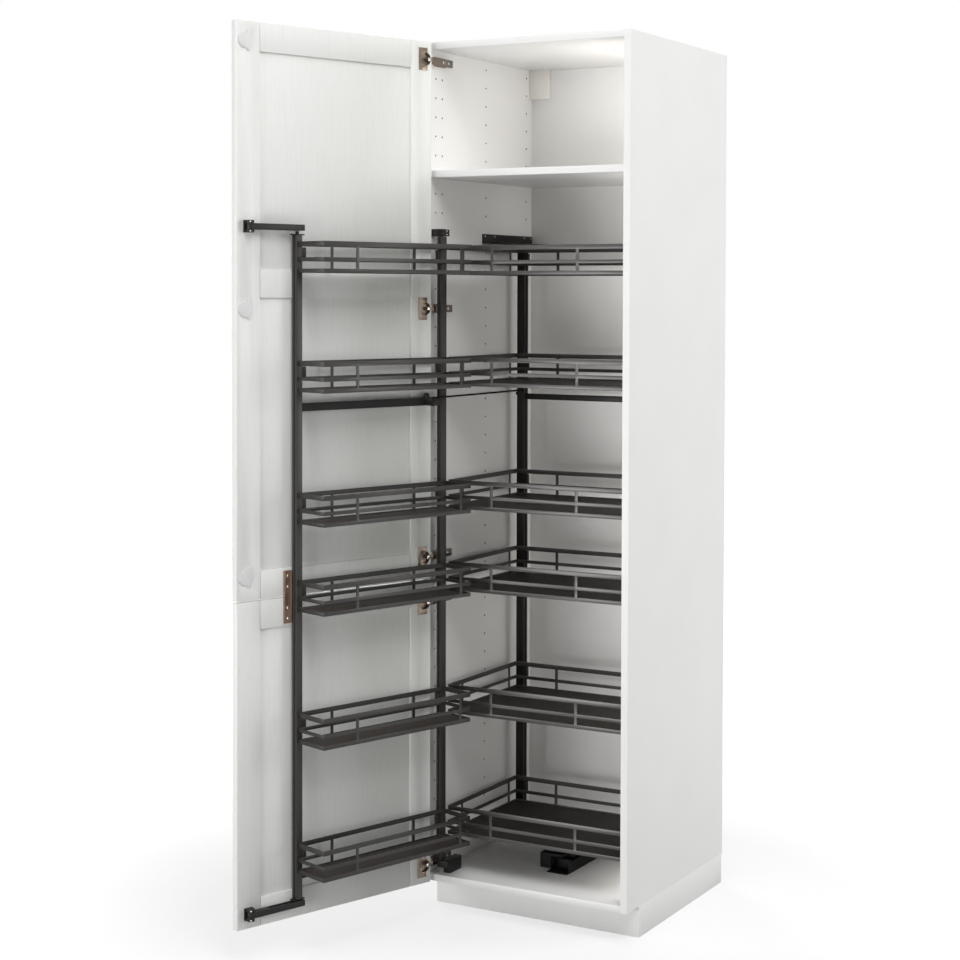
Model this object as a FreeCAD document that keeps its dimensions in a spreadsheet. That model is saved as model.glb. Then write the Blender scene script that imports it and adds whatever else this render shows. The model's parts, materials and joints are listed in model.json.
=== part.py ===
import FreeCAD, Part
import os
import re
import Sketcher

# Tall kitchen cabinet with a door of two leaves and a larder of two racks.
# Millimetres. The origin is on the floor, in the middle of the plinth's front board.
# +X is to the right, +Y to the wall, +Z up. The door and the racks stand open.

SIZES = (
    # Carcass
    ("cabinet_width", 600),
    ("cabinet_depth", 600),
    ("carcass_height", 2200),
    ("panel", 18),
    ("back_rebate", 52),
    ("back_thickness", 5),
    # Plinth and legs
    ("plinth_height", 80),
    ("plinth_setback", 72),
    ("plinth_thickness", 16),
    ("plinth_wall_gap", 5),
    ("leg_radius", 20),
    ("foot_radius", 30),
    ("foot_height", 12),
    ("foot_sink", 8),
    ("leg_inset", 75),
    ("clip_width", 30),
    ("clip_height", 24),
    # System holes in the side panels
    ("hole_diameter", 5),
    ("hole_depth", 11),
    ("hole_pitch", 50),
    ("hole_top_margin", 30),
    ("hole_first_row", 58.5),
    ("hole_front_inset", 30),
    ("hole_pair_step", 32),
    ("hole_middle_inset", 290),
    ("hole_rear_margin", 83),
    # Fixed shelf
    ("shelf_rows_below_top_count", 6),
    ("shelf_pin_reach", 12),
    ("pin_play", 0.05),
    # Wall-fixing brackets
    ("cover_width", 62),
    ("cover_height", 82),
    ("cover_depth", 16),
    ("cover_wall", 2),
    ("bracket_plate", 3),
    ("bracket_drop", 70),
    ("bracket_reach", 12),
    # Door
    ("door_thickness", 19),
    ("door_gap", 3),
    ("door_reveal", 1.5),
    ("leaf_gap", 3),
    ("lower_leaf_height", 797),
    ("stile_width", 67),
    ("rail_height", 70),
    ("middle_rail_rise", 733),
    ("rail_recess", 0.5),
    ("infill_thickness", 9),
    ("infill_recess", 5),
    ("infill_tongue", 8),
    ("joint_groove_width", 1.6),
    ("joint_groove_depth", 3),
    ("edge_round", 3),
    ("door_open_angle", 109.5),
    ("axis_edge_inset", 12),
    ("axis_face_depth", 17.5),
    # Hinges
    ("hinge_end_inset", 45.5),
    ("hinge_below_joint", 59.5),
    ("hinge_above_joint", 56.5),
    ("hinge_rail_drop", 27.5),
    ("cup_diameter", 35),
    ("cup_depth", 11.5),
    ("cup_wall", 1.5),
    ("cup_play", 0.1),
    ("cup_inset", 21.5),
    ("cup_rim_inset", 0.5),
    ("cup_plate_shift", 8),
    ("cup_plate_width", 28),
    ("cup_plate_height", 58),
    ("cup_plate_thickness", 1.2),
    ("plug_inset", 26),
    ("plug_rim", 2),
    ("plug_thickness", 2),
    ("plug_ear_radius", 5),
    ("plug_ear_shift", 9),
    ("arm_plate_thickness", 2.5),
    ("arm_plate_length", 56),
    ("arm_plate_height", 24),
    ("arm_thickness", 8),
    ("arm_height", 19),
    ("nose_height", 15),
    ("arm_length", 95),
    ("arm_front_inset", 3),
    ("nose_bar", 4),
    ("nose_length", 8),
    ("nose_width", 5),
    ("nose_offset", 12),
    ("link_height", 8),
    ("link_inner_radius", 17.4),
    ("link_outer_radius", 19.8),
    ("link_arc_angle", 67),
    ("link_lead_angle", 25),
    ("link_play", 0.5),
    ("notch_depth", 5.3),
    ("screw_head_radius", 3.6),
    ("screw_head_height", 1.5),
    ("arm_screw_inset", 46),
    ("arm_screw_spacing", 26),
    # Leaf connector
    ("connector_free_inset", 146),
    ("connector_width", 22),
    ("connector_height", 130),
    ("connector_thickness", 2.5),
    ("connector_wall", 2),
    ("connector_rise", 6),
    # Guide arms
    ("guide_free_inset", 32),
    ("guide_pivot_height", 13),
    ("guide_arm_width", 18),
    ("guide_arm_depth", 15),
    ("guide_arm_length", 152),
    ("guide_slot_width", 9),
    ("guide_slot_end", 10),
    ("guide_slot_length", 92),
    ("guide_gap", 1),
    ("guide_floor_gap", 13),
    ("guide_pin_radius", 3.9),
    ("guide_bore_radius", 4),
    ("guide_plate", 3),
    ("guide_ear", 7),
    ("guide_play", 0.4),
    ("guide_bracket_length", 24),
    # Front rack
    ("rack_open_angle", 108),
    ("pivot_side_inset", 27),
    ("pivot_front_inset", 18),
    ("post_width", 18),
    ("rack_width_margin", 133),
    ("rack_headroom", 163.5),
    ("free_post_drop", 7),
    ("roller_radius", 4.5),
    ("free_post_floor_gap", 33),
    ("pivot_post_floor_gap", 37),
    ("groove_width", 5),
    ("groove_depth", 3),
    ("end_plate_thickness", 3),
    ("end_plate_length", 34),
    ("end_plate_width", 16),
    ("pivot_pin_radius", 5),
    ("pivot_bore_radius", 5.1),
    ("pivot_pin_length", 20),
    ("pivot_gap", 2),
    ("pivot_block_height", 18),
    ("pivot_ear_radius", 9),
    ("pivot_tab_length", 46),
    ("pivot_tab_width", 22),
    ("pivot_block_width", 21),
    ("pivot_block_length", 58),
    ("pivot_block_offset", 5),
    ("pivot_block_setback", 5),
    ("cross_bar_drop", 53),
    ("cross_bar_height", 20),
    ("cross_bar_thickness", 8),
    ("bottom_bar_drop", 20),
    ("bottom_bar_height", 12),
    # Trays
    ("top_tray_drop", 94),
    ("bottom_tray_rise", 102),
    ("front_tray_reach", 115),
    ("tray_free_overhang", 5),
    ("tray_pivot_overhang", 2),
    ("rim_height", 10),
    ("middle_rail_height", 9),
    ("top_rail_height", 12),
    ("middle_rail_gap", 18.5),
    ("top_rail_gap", 27),
    ("rail_thickness", 2.5),
    ("upright_width", 8),
    ("floor_thickness", 3),
    ("floor_drop", 3),
    ("clamp_width", 12),
    ("clamp_depth", 11),
    ("clamp_height", 34),
    # Rear rack
    ("rear_tray_left_gap", 32),
    ("rear_tray_right_gap", 22),
    ("rear_tray_front_inset", 45),
    ("rear_wall_gap", 10),
    ("rear_post_width", 23),
    ("rear_post_drop", 19),
    ("rear_post_floor_gap", 52),
    ("rear_bar_drop", 57),
    ("rear_bar_height", 16),
    ("rear_upright_front_inset", 71),
    ("rear_upright_back_inset", 41),
    ("rear_slide_travel", 105),
    # Rear guides
    ("track_offset", 18),
    ("track_width", 60),
    ("track_height", 30),
    ("track_wall", 3),
    ("track_front_inset", 172),
    ("track_length", 258),
    ("carriage_length", 120),
    ("carriage_lead", 30),
    ("track_lip", 14),
    ("carriage_play", 0.3),
    ("carriage_height", 24),
    ("carriage_post_width", 30),
    ("carriage_post_length", 60),
    ("housing_width", 34),
    ("housing_length", 44),
    ("housing_rise", 12),
    ("housing_gap", 2),
    ("housing_advance", 15),
    ("bridge_height", 8),
    ("top_guide_length", 278),
    ("top_guide_rise", 8),
    ("top_guide_height", 26),
    ("top_guide_thickness", 3),
    ("top_guide_width", 58),
    ("top_guide_slot_width", 9),
    ("top_guide_slot_end", 20),
    ("top_pin_radius", 4.2),
    ("top_pin_rise", 14),
    # Link rod
    ("rod_radius", 2.5),
    ("rod_rise", 21),
    ("rod_stud_along", 57),
    ("rod_stud_across", 40),
    ("rod_stud_radius", 5),
    ("bolt_head_radius", 6),
    ("bolt_head_height", 12),
    ("rod_eye_radius", 7),
    ("rod_eye_height", 6),
    ("rod_gap", 1),
    ("rod_lug_length", 14),
    ("rod_pin_radius", 3),
    ("rod_bore_radius", 3.1),
    # Cuts reach this far past a face
    ("overrun", 5),
)

ALIASES = {name for name, value in SIZES}
CONNECTOR_SCREW_SHARES = ("-0.4", "-0.2", "0.2", "0.4")
TRAY_HEIGHT_SHARES = ("1", "0.802836", "0.584065", "0.438217", "0.218096", "0")
FRONT_TRAY_POST_SIDE_SHARES = ("0.22", "0.78")
FRONT_TRAY_OPEN_SIDE_SHARES = ("0.07", "0.78")
REAR_TRAY_SHARES = ("0.255", "0.745")

doc = FreeCAD.newDocument("tall_cabinet")
sheet = doc.addObject("Spreadsheet::Sheet", "sizes")
for row, (name, value) in enumerate(SIZES, 1):
    sheet.set("A%d" % row, name)
    sheet.set("B%d" % row, str(value))
    sheet.setAlias("B%d" % row, name)
doc.recompute()

nodes = []


# Formulas shared by several pieces
half_width = "(cabinet_width / 2)"
inner_half = "(cabinet_width / 2 - panel)"
inner_width = "(cabinet_width - 2 * panel)"
carcass_front = "(-plinth_setback - plinth_thickness / 2)"
carcass_back = f"({carcass_front} + cabinet_depth)"
carcass_top = "(plinth_height + carcass_height)"
floor_top = "(plinth_height + panel)"
back_face = f"({carcass_back} - back_rebate)"
shelf_depth = "(cabinet_depth - back_rebate)"
hole_count = "(floor((carcass_height - hole_first_row - hole_top_margin) / hole_pitch) + 1)"
shelf_row = f"({hole_count} - 1 - shelf_rows_below_top_count)"
shelf_level = f"(plinth_height + hole_first_row + {shelf_row} * hole_pitch)"

hinge_x = f"(-{half_width} + door_reveal + axis_edge_inset)"
hinge_y = f"({carcass_front} - door_gap - axis_face_depth)"
door_width = "(cabinet_width - 2 * door_reveal)"
door_edge = "(-axis_edge_inset)"
door_face = "axis_face_depth"
door_outer = "(axis_face_depth - door_thickness)"
door_bottom = "(plinth_height + door_reveal)"
upper_bottom = f"({door_bottom} + lower_leaf_height + leaf_gap)"
upper_height = f"({carcass_top} - door_reveal - {upper_bottom})"
cup_x = "(cup_inset - axis_edge_inset)"
HINGE_LEVELS = (
    f"({door_bottom} + hinge_end_inset)",
    f"({door_bottom} + lower_leaf_height - hinge_below_joint)",
    f"({upper_bottom} + hinge_above_joint)",
    f"({upper_bottom} + middle_rail_rise - hinge_rail_drop)",
    f"({upper_bottom} + {upper_height} - hinge_end_inset)",
)
PLUG_LEVELS = HINGE_LEVELS[2:]

pivot_x = f"(-{inner_half} + pivot_side_inset)"
pivot_y = f"({carcass_front} + pivot_front_inset)"
post_half = "(post_width / 2)"
post_spacing = f"({door_width} - rack_width_margin)"
post_top = f"({shelf_level} - rack_headroom)"
free_post_top = f"({post_top} - free_post_drop)"
post_bottom = f"({floor_top} + free_post_floor_gap)"
pivot_post_bottom = f"({floor_top} + pivot_post_floor_gap)"
guide_top_level = f"({post_top} + end_plate_thickness + guide_gap)"
guide_bottom_level = f"({floor_top} + guide_floor_gap)"
guide_along = f"({door_edge} + {door_width} - guide_free_inset)"
guide_across = f"({door_face} + guide_pivot_height)"

top_tray = f"({post_top} - top_tray_drop)"
bottom_tray = f"({floor_top} + bottom_tray_rise)"
TRAY_LEVELS = [f"({bottom_tray} + {share} * ({top_tray} - {bottom_tray}))" for share in TRAY_HEIGHT_SHARES]
cross_bar_level = f"({TRAY_LEVELS[1]} - cross_bar_drop)"
bottom_bar_level = f"({bottom_tray} - bottom_bar_drop)"
rod_level = f"({cross_bar_level} + rod_rise)"
rod_low = f"({rod_level} - rod_eye_height / 2)"

rear_left = f"(-{inner_half} + rear_tray_left_gap)"
rear_right = f"({inner_half} - rear_tray_right_gap)"
rear_front = f"({carcass_front} + rear_tray_front_inset)"
rear_taken = "(rear_tray_front_inset + rear_slide_travel + rear_post_width + rear_wall_gap)"
rear_tray_depth = f"({shelf_depth} - {rear_taken})"
rear_post_top = f"({post_top} - rear_post_drop)"
rear_post_bottom = f"({floor_top} + rear_post_floor_gap)"
top_guide_level = f"({rear_post_top} + top_guide_rise)"
rear_back = f"({rear_front} + {rear_tray_depth})"
rear_post_y = f"({rear_back} + rear_post_width / 2)"
rear_post_x = f"({rear_left} + rear_post_width / 2)"
rod_rear_y = f"({rear_back} - rod_eye_radius - rod_gap)"


def bound(formula):
    """Point each size's name in a formula at its cell."""
    return re.sub(r"[a-z_]+", lambda hit: "sizes." + hit[0] if hit[0] in ALIASES else hit[0], formula)


def place(item, x="0", y="0", z="0", turn=None):
    """Bind a place, and a turn about Z in degrees, to the sheet."""
    for axis, formula in zip("xyz", (x, y, z)):
        item.setExpression("Placement.Base." + axis, bound(formula))
    if turn:
        item.Placement.Rotation = FreeCAD.Rotation(FreeCAD.Vector(0, 0, 1), 1)
        item.setExpression("Placement.Rotation.Angle", bound(turn))
    return item


def box(x, y, z, length, width, height):
    """A block from its lowest corner and its three sizes."""
    item = doc.addObject("Part::Box", "block")
    for side, formula in (("Length", length), ("Width", width), ("Height", height)):
        item.setExpression(side, bound(formula))
    return place(item, x, y, z)


def rod(x, y, z, radius, length, along="z"):
    """A round bar that starts at a point and runs along one axis."""
    item = doc.addObject("Part::Cylinder", "round_bar")
    item.setExpression("Radius", bound(radius))
    item.setExpression("Height", bound(length))
    facing = {"x": FreeCAD.Vector(1, 0, 0), "y": FreeCAD.Vector(0, 1, 0), "z": FreeCAD.Vector(0, 0, 1)}
    item.Placement.Rotation = FreeCAD.Rotation(FreeCAD.Vector(0, 0, 1), facing[along])
    return place(item, x, y, z)


def fuse(items):
    """Join touching shapes into one solid."""
    item = doc.addObject("Part::MultiFuse", "joined")
    item.Shapes = items
    item.Refine = True
    return item


def cut(base, tool):
    """Take one shape out of another."""
    item = doc.addObject("Part::Cut", "cut_shape")
    item.Base = base
    item.Tool = tool
    return item


def group(items):
    """Keep several separate solids together."""
    item = doc.addObject("Part::Compound", "set_of_solids")
    item.Links = items
    return item


def node(label, item):
    """Name a finished sub-part."""
    item.Label = label
    nodes.append(item)
    return item


def on_door(item):
    """Hang a piece, drawn shut about the hinge axis, at the door's open angle."""
    return place(item, hinge_x, hinge_y, "0", "-door_open_angle")


def on_front_rack(item):
    """Hang a piece, drawn along its frame from the pivot, at the rack's open angle."""
    return place(item, pivot_x, pivot_y, "0", "-rack_open_angle")


# Side panels

def origin_plane(body, role):
    return [plane for plane in body.Origin.OriginFeatures if plane.Role == role][0]


def panel_sketch(body, offset):
    sketch = body.newObject("Sketcher::SketchObject", "outline")
    sketch.AttachmentSupport = [(origin_plane(body, "YZ_Plane"), "")]
    sketch.MapMode = "FlatFace"
    sketch.setExpression("AttachmentOffset.Base.z", bound(offset))
    return sketch


def draw_rectangle(sketch, width, height):
    corners = ((0, 0), (1, 0), (1, 1), (0, 1))
    points = [FreeCAD.Vector(x * sheet.get(width), y * sheet.get(height), 0) for x, y in corners]
    for first in range(4):
        sketch.addGeometry(Part.LineSegment(points[first], points[(first + 1) % 4]))
    for first in range(4):
        sketch.addConstraint(Sketcher.Constraint("Coincident", first, 2, (first + 1) % 4, 1))
    for first, kind in enumerate(("Horizontal", "Vertical", "Horizontal", "Vertical")):
        sketch.addConstraint(Sketcher.Constraint(kind, first))
    sketch.addConstraint(Sketcher.Constraint("Coincident", 0, 1, -1, 1))
    for line, kind, size in ((0, "DistanceX", width), (1, "DistanceY", height)):
        index = sketch.addConstraint(Sketcher.Constraint(kind, line, 1, line, 2, sheet.get(size)))
        sketch.setExpression("Constraints[%d]" % index, bound(size))


def draw_holes(sketch, columns):
    radius = sheet.hole_diameter / 2
    for number, column in enumerate(columns):
        spot = FreeCAD.Vector(sheet.hole_front_inset * (number + 1), sheet.hole_first_row, 0)
        sketch.addGeometry(Part.Circle(spot, FreeCAD.Vector(0, 0, 1), radius))
        rules = (
            ("DistanceX", (-1, 1, number, 3, spot.x), column),
            ("DistanceY", (-1, 1, number, 3, spot.y), "hole_first_row"),
            ("Diameter", (number, 2 * radius), "hole_diameter"),
        )
        for kind, target, size in rules:
            index = sketch.addConstraint(Sketcher.Constraint(kind, *target))
            sketch.setExpression("Constraints[%d]" % index, bound(size))


def side_panel(label, left_edge, inner_offset, inward):
    body = doc.addObject("PartDesign::Body", label)
    outline = panel_sketch(body, "0")
    draw_rectangle(outline, "cabinet_depth", "carcass_height")
    pad = body.newObject("PartDesign::Pad", "board")
    pad.Profile = outline
    pad.setExpression("Length", bound("panel"))
    doc.recompute()
    holes = panel_sketch(body, inner_offset)
    draw_holes(holes, ("hole_front_inset", "hole_front_inset + hole_pair_step",
                       "hole_middle_inset", "cabinet_depth - hole_rear_margin"))
    pocket = body.newObject("PartDesign::Pocket", "first_holes")
    pocket.Profile = holes
    pocket.setExpression("Length", bound("hole_depth"))
    pocket.Reversed = inward
    doc.recompute()
    rows = body.newObject("PartDesign::LinearPattern", "hole_rows")
    rows.Originals = [pocket]
    rows.Direction = (holes, ["V_Axis"])
    rows.setExpression("Length", bound(f"hole_pitch * ({hole_count} - 1)"))
    rows.setExpression("Occurrences", bound(hole_count))
    body.Tip = rows
    return node(label, place(body, left_edge, carcass_front, "plinth_height"))


def build_carcass():
    side_panel("left_side_panel", f"-{half_width}", "panel", False)
    side_panel("right_side_panel", inner_half, "0", True)
    board = (inner_width, "cabinet_depth", "panel")
    node("bottom_panel", box(f"-{inner_half}", carcass_front, "plinth_height", *board))
    node("top_panel", box(f"-{inner_half}", carcass_front, f"{carcass_top} - panel", *board))
    node("back_panel", box(f"-{inner_half}", back_face, floor_top,
                           inner_width, "back_thickness", "carcass_height - 2 * panel"))
    build_shelf()
    build_wall_brackets()


def build_shelf():
    shelf = box(f"-{inner_half}", carcass_front, f"{shelf_level} - panel / 2",
                inner_width, shelf_depth, "panel")
    pins = []
    bores = []
    for inset in ("hole_front_inset", "cabinet_depth - hole_rear_margin"):
        for face in (f"-{inner_half}", inner_half):
            sign = "1" if face.startswith("-") else "-1"
            start = f"{face} - (1 + {sign}) / 2 * hole_depth - (1 - {sign}) / 2 * shelf_pin_reach"
            spot = (start, f"{carcass_front} + {inset}", shelf_level)
            length = "hole_depth + shelf_pin_reach"
            pins.append(rod(*spot, "hole_diameter / 2 - pin_play", length, "x"))
            bores.append(rod(*spot, "hole_diameter / 2", length, "x"))
    node("fixed_shelf", cut(shelf, group(bores)))
    node("shelf_pins", group(pins))


def build_wall_brackets():
    brackets = []
    covers = []
    top = f"({carcass_top} - panel)"
    for side in ("-1", "1"):
        inner = f"({side} * {inner_half})"
        plate_x = f"{inner} - (1 + {side}) / 2 * bracket_plate"
        brackets.append(box(plate_x, f"{back_face} - bracket_reach", f"{top} - bracket_drop",
                            "bracket_plate", "bracket_reach", "bracket_drop"))
        cover_x = f"{inner} - (1 + {side}) / 2 * cover_width"
        shell = box(cover_x, f"{back_face} - cover_depth", f"{top} - cover_height",
                    "cover_width", "cover_depth", "cover_height")
        room = box(f"{cover_x} + (1 + {side}) / 2 * cover_wall - (1 - {side}) / 2 * overrun",
                   f"{back_face} - cover_depth + cover_wall", f"{top} - cover_height + cover_wall",
                   "cover_width - cover_wall + overrun", "cover_depth - cover_wall + overrun",
                   "cover_height - cover_wall + overrun")
        covers.append(cut(shell, room))
    node("wall_brackets", group(brackets))
    node("wall_bracket_covers", group(covers))


# Plinth and legs

def build_plinth():
    node("front_plinth", box(f"-{half_width}", "-plinth_thickness / 2", "0",
                             "cabinet_width", "plinth_thickness", "plinth_height"))
    length = f"({carcass_back} - plinth_wall_gap - plinth_thickness / 2)"
    returns = []
    for edge in (f"-{half_width}", f"{half_width} - plinth_thickness"):
        returns.append(box(edge, "plinth_thickness / 2", "0", "plinth_thickness", length, "plinth_height"))
    node("plinth_returns", group(returns))
    legs = []
    feet = []
    clips = []
    rows = ("plinth_thickness / 2 + leg_inset", f"{carcass_back} - leg_inset")
    for side in ("-1", "1"):
        leg_x = f"{side} * ({half_width} - leg_inset)"
        for leg_y in rows:
            stem = rod(leg_x, leg_y, "foot_height", "leg_radius", "plinth_height - foot_height")
            socket = rod(leg_x, leg_y, "foot_height", "leg_radius / 2", "foot_sink")
            legs.append(cut(stem, socket))
            pad = rod(leg_x, leg_y, "0", "foot_radius", "foot_height")
            screw = rod(leg_x, leg_y, "foot_height", "leg_radius / 2 - pin_play", "foot_sink")
            feet.append(fuse([pad, screw]))
        clips.append(box(f"{leg_x} - clip_width / 2", "plinth_thickness / 2",
                         "plinth_height / 2 - clip_height / 2",
                         "clip_width", "leg_inset - leg_radius", "clip_height"))
    node("leg_stems", group(legs))
    node("leg_feet", group(feet))
    node("plinth_clips", group(clips))


# Door

def stile(x, bottom, height, levels, outer_sign, inset):
    board = box(x, door_outer, bottom, "stile_width", "door_thickness", height)
    edge_x = x if outer_sign < 0 else f"{x} + stile_width"
    corner = box(f"{edge_x} - edge_round * (1 + {outer_sign}) / 2", f"{door_face} - edge_round", bottom,
                 "edge_round", "edge_round", height)
    centre_x = f"{edge_x} - {outer_sign} * edge_round"
    arc = rod(centre_x, f"{door_face} - edge_round", bottom, "edge_round", height)
    shape = cut(board, cut(corner, arc))
    if not levels:
        return shape
    bores = []
    for level in levels:
        bore_x = f"{edge_x} - {outer_sign} * {inset}"
        bores.append(rod(bore_x, f"{door_face} - cup_depth", level,
                         "cup_diameter / 2", "cup_depth + overrun", "y"))
        if outer_sign < 0:
            bores.append(link_notch(level))
    return cut(shape, fuse(bores))


def link_notch(level):
    """Room for one hinge link between the cup and the door's edge."""
    return box(f"{door_edge} - overrun", f"{door_face} - notch_depth",
               f"{level} - link_height / 2 - link_play",
               "cup_inset + overrun", "notch_depth + overrun", "link_height + 2 * link_play")


def rails_and_infills(bottom, height, rail_bottoms):
    inner_x = f"({door_edge} + stile_width)"
    inner = f"({door_width} - 2 * stile_width)"
    rails = []
    infills = []
    for rail_bottom in rail_bottoms:
        rail = box(inner_x, f"{door_outer} + rail_recess", rail_bottom,
                   inner, "door_thickness - 2 * rail_recess", "rail_height")
        grooves = []
        for groove_x in (inner_x, f"{inner_x} + {inner} - joint_groove_width"):
            grooves.append(box(groove_x, f"{door_face} - rail_recess - joint_groove_depth", rail_bottom,
                               "joint_groove_width", "joint_groove_depth + overrun", "rail_height"))
        rails.append(cut(rail, group(grooves)))
    for below, above in zip(rail_bottoms, rail_bottoms[1:]):
        infills.append(box(inner_x, f"{door_face} - infill_recess - infill_thickness",
                           f"{below} + rail_height",
                           inner, "infill_thickness", f"{above} - ({below}) - rail_height"))
    return rails, infills


def build_leaf(label, bottom, height, rail_bottoms, hinge_levels, plug_levels):
    free_x = f"({door_edge} + {door_width} - stile_width)"
    node(label + "_hinge_stile", on_door(stile(door_edge, bottom, height, hinge_levels, -1, "cup_inset")))
    node(label + "_free_stile", on_door(stile(free_x, bottom, height, plug_levels, 1, "plug_inset")))
    rails, infills = rails_and_infills(bottom, height, rail_bottoms)
    node(label + "_rails", on_door(group(rails)))
    return infills


def build_cups():
    cups = []
    for level in HINGE_LEVELS:
        bowl = rod(cup_x, f"{door_face} - cup_depth + cup_play", level, "cup_diameter / 2 - cup_play",
                   "cup_depth - cup_play", "y")
        flange = box(f"{cup_x} + cup_plate_shift - cup_plate_width / 2", door_face,
                     f"{level} - cup_plate_height / 2",
                     "cup_plate_width", "cup_plate_thickness", "cup_plate_height")
        rim = rod(cup_x, door_face, level, "cup_diameter / 2 - cup_rim_inset", "cup_plate_thickness", "y")
        room = rod(cup_x, f"{door_face} - cup_depth + cup_play + cup_wall", level,
                   "cup_diameter / 2 - cup_wall", "cup_depth + overrun", "y")
        cups.append(cut(fuse([bowl, flange, rim]), fuse([room, link_notch(level)])))
    node("hinge_cups", on_door(group(cups)))


def build_plugs():
    plugs = []
    plug_x = f"({door_edge} + {door_width} - plug_inset)"
    for level in PLUG_LEVELS:
        stem = rod(plug_x, f"{door_face} - cup_depth / 2", level,
                   "cup_diameter / 2 - cup_play", "cup_depth / 2", "y")
        cap = rod(plug_x, door_face, level, "cup_diameter / 2 + plug_rim", "plug_thickness", "y")
        ears = []
        for side in ("-1", "1"):
            ears.append(rod(f"{plug_x} - plug_ear_shift", door_face,
                            f"{level} + {side} * (cup_diameter / 2 + plug_ear_radius / 2)",
                            "plug_ear_radius", "plug_thickness", "y"))
        plugs.append(fuse([stem, cap] + ears))
    node("spare_hole_plugs", on_door(group(plugs)))


def build_connector():
    middle = f"({upper_bottom} - leaf_gap / 2)"
    axis = f"({door_edge} + {door_width} - connector_free_inset)"
    face = f"({door_face} - rail_recess)"
    left = f"({axis} - connector_width / 2)"
    low = f"({middle} - connector_height / 2)"
    channel = box(left, face, low, "connector_width", "connector_rise", "connector_height")
    room = box(f"{left} + connector_wall", f"{face} + connector_thickness", f"{low} - overrun",
               "connector_width - 2 * connector_wall", "connector_rise", "connector_height + 2 * overrun")
    node("leaf_connector", on_door(cut(channel, room)))
    heads = []
    for share in CONNECTOR_SCREW_SHARES:
        heads.append(rod(axis, f"{face} + connector_thickness", f"{middle} + {share} * connector_height",
                         "screw_head_radius", "screw_head_height", "y"))
    node("leaf_connector_screws", on_door(group(heads)))


def build_guide_brackets():
    brackets = []
    for level in (guide_bottom_level, guide_top_level):
        low = f"({level} - guide_play - guide_ear)"
        height = "(guide_arm_depth + 2 * guide_play + 2 * guide_ear)"
        base = box(f"{guide_along} - guide_bracket_length / 2", door_face, low,
                   "guide_bracket_length", "guide_plate", height)
        pieces = [base]
        for ear_z in (low, f"{level} + guide_arm_depth + guide_play"):
            pieces.append(box(f"{guide_along} - guide_arm_width / 2", door_face, ear_z,
                              "guide_arm_width", "guide_pivot_height", "guide_ear"))
            pieces.append(rod(guide_along, guide_across, ear_z, "guide_arm_width / 2", "guide_ear"))
        pieces.append(rod(guide_along, guide_across, low, "guide_pin_radius", height))
        brackets.append(fuse(pieces))
    node("guide_arm_brackets", on_door(group(brackets)))


def build_door():
    top_rail = f"({upper_bottom} + {upper_height} - rail_height)"
    middle_rail = f"({upper_bottom} + middle_rail_rise)"
    infills = build_leaf("upper_leaf", upper_bottom, upper_height, (upper_bottom, middle_rail, top_rail),
                         HINGE_LEVELS[2:], PLUG_LEVELS)
    lower_top = f"({door_bottom} + lower_leaf_height - rail_height)"
    infills += build_leaf("lower_leaf", door_bottom, "lower_leaf_height", (door_bottom, lower_top),
                          HINGE_LEVELS[:2], ())
    node("leaf_infills", on_door(group(infills)))
    build_cups()
    build_plugs()
    build_connector()
    build_guide_brackets()


# Hinge arms and links

def build_hinge_arms():
    plates = []
    arms = []
    screws = []
    wall = f"(-{inner_half})"
    arm_front = f"({carcass_front} + arm_front_inset)"
    for level in HINGE_LEVELS:
        plate_y = f"({carcass_front} + hole_front_inset + hole_pair_step / 2 - arm_plate_length / 2)"
        plates.append(box(wall, plate_y, f"{level} - arm_plate_height / 2",
                          "arm_plate_thickness", "arm_plate_length", "arm_plate_height"))
        low = f"({level} - arm_height / 2)"
        bar = box(f"{wall} + arm_plate_thickness", arm_front, low,
                  "arm_thickness", "arm_length", "arm_height")
        nose_low = f"({level} - nose_height / 2)"
        jog = box(f"{wall} + arm_plate_thickness", carcass_front, nose_low,
                  "nose_offset + nose_width - arm_plate_thickness", "nose_bar", "nose_height")
        nose = box(f"{wall} + nose_offset", f"{carcass_front} - nose_length", nose_low,
                   "nose_width", "nose_length + nose_bar", "nose_height")
        arms.append(fuse([bar, jog, nose]))
        for screw_y in ("arm_screw_inset", "arm_screw_inset + arm_screw_spacing"):
            screws.append(rod(f"{wall} + arm_plate_thickness + arm_thickness", f"{arm_front} + {screw_y}",
                              level, "screw_head_radius", "screw_head_height", "x"))
    node("hinge_mounting_plates", group(plates))
    node("hinge_arms", group(arms))
    node("hinge_plate_screws", group(screws))


def build_hinge_links():
    links = []
    for level in HINGE_LEVELS:
        low = f"{level} - link_height / 2"
        sector = rod("0", "0", low, "link_outer_radius", "link_height")
        sector.setExpression("Angle", bound("link_arc_angle"))
        links.append(cut(sector, rod("0", "0", low, "link_inner_radius", "link_height")))
    node("hinge_links", place(group(links), hinge_x, hinge_y, "0", "-link_lead_angle"))


# Guide arms between the door and the front rack

def build_guide_arms():
    spot = (
        f"{hinge_x} + {guide_along} * cos(door_open_angle) + {guide_across} * sin(door_open_angle)",
        f"{hinge_y} - {guide_along} * sin(door_open_angle) + {guide_across} * cos(door_open_angle)",
    )
    arms = []
    for level in (guide_bottom_level, guide_top_level):
        bar = box("-guide_arm_length", "-guide_arm_width / 2", level,
                  "guide_arm_length", "guide_arm_width", "guide_arm_depth")
        eye = rod("0", "0", level, "guide_arm_width / 2", "guide_arm_depth")
        bore = rod("0", "0", level, "guide_bore_radius", "guide_arm_depth")
        slot = box("guide_slot_end - guide_arm_length", "-guide_slot_width / 2", level,
                   "guide_slot_length", "guide_slot_width", "guide_arm_depth")
        arms.append(cut(fuse([bar, eye]), group([bore, slot])))
    node("guide_arms", place(group(arms), *spot, "0", "-door_open_angle"))


# Trays: a floor in a rim, two rails above it, and uprights

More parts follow.
